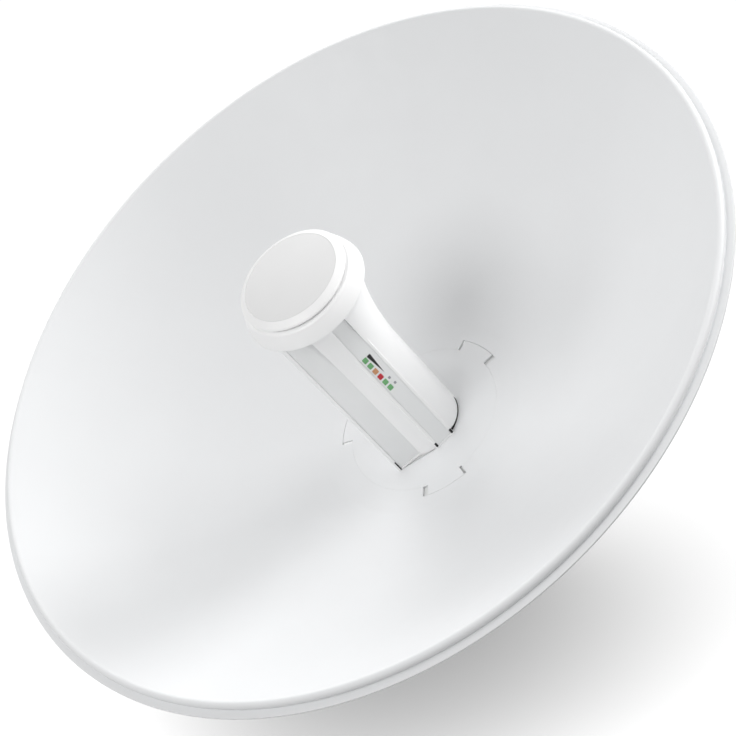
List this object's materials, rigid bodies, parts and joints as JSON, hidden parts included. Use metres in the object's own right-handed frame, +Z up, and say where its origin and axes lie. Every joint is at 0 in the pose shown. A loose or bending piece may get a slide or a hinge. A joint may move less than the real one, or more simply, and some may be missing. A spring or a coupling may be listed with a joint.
{
  "type": "wireless link dish antenna",
  "caption": "White parabolic link antenna with a central feed tube, signal lights, rear housing and a tilting steel bracket with a flat mast plate.",
  "frame": {"origin": "middle of the flat rear face of mast_plate, the face that is fastened to a mast or wall", "axes": "+Y points out of the mast plate's rear face, towards the mast; +Z is up; the dish looks towards -Y, tilted up 35 degrees at rest as pictured; +X is to the right seen from the front of the dish"},
  "size_m": [0.42, 0.3047, 0.3447],
  "materials": {
    "dish_paint": "fine powder coat, white",
    "hub_plastic": "moulded, fine grain, white",
    "feed_plastic": "moulded, half gloss, white",
    "panel_plastic": "printed film, light grey",
    "lens_green": "clear moulded, green",
    "lens_amber": "clear moulded, amber",
    "lens_red": "clear moulded, red",
    "housing_plastic": "moulded, fine grain, white",
    "gland_rubber": "moulded, black",
    "zinc_steel": "zinc plated",
    "earth_brass": "plain"
  },
  "bodies": {
    "bracket": {"mast_plate": "zinc_steel", "bracket_cheek_right": "zinc_steel", "bracket_cheek_left": "zinc_steel", "pivot_bolt": "zinc_steel", "pivot_nut": "zinc_steel", "pivot_spacer_right": "zinc_steel", "pivot_spacer_left": "zinc_steel"},
    "head": {"reflector_dish": "dish_paint", "hub_plate": "hub_plastic", "feed_tube": "feed_plastic", "label_panel": "panel_plastic", "led_panel": "panel_plastic", "led_lens_1": "lens_green", "led_lens_2": "lens_green", "led_lens_3": "lens_amber", "led_lens_4": "lens_red", "led_lens_5": "lens_green", "led_lens_6": "lens_green", "feed_cap": "feed_plastic", "feed_cap_face": "feed_plastic", "rear_housing": "housing_plastic", "port_cover": "housing_plastic", "cable_gland": "gland_rubber", "yoke_plate": "zinc_steel", "yoke_ear_right": "zinc_steel", "yoke_ear_left": "zinc_steel", "housing_screw_1": "zinc_steel", "housing_screw_2": "zinc_steel", "housing_screw_3": "zinc_steel", "housing_screw_4": "zinc_steel", "earth_screw": "earth_brass", "lock_bolt_right": "zinc_steel", "lock_bolt_left": "zinc_steel", "lock_nut_right": "zinc_steel", "lock_nut_left": "zinc_steel", "lock_spacer_right": "zinc_steel", "lock_spacer_left": "zinc_steel"}
  },
  "joints": [
    {"name": "elevation_tilt", "type": "hinge", "parent": "bracket", "child": "head", "pos_m": [0, -0.06, 0], "axis": [-1, 0, 0], "range_deg": [-35, 10]}
  ]
}
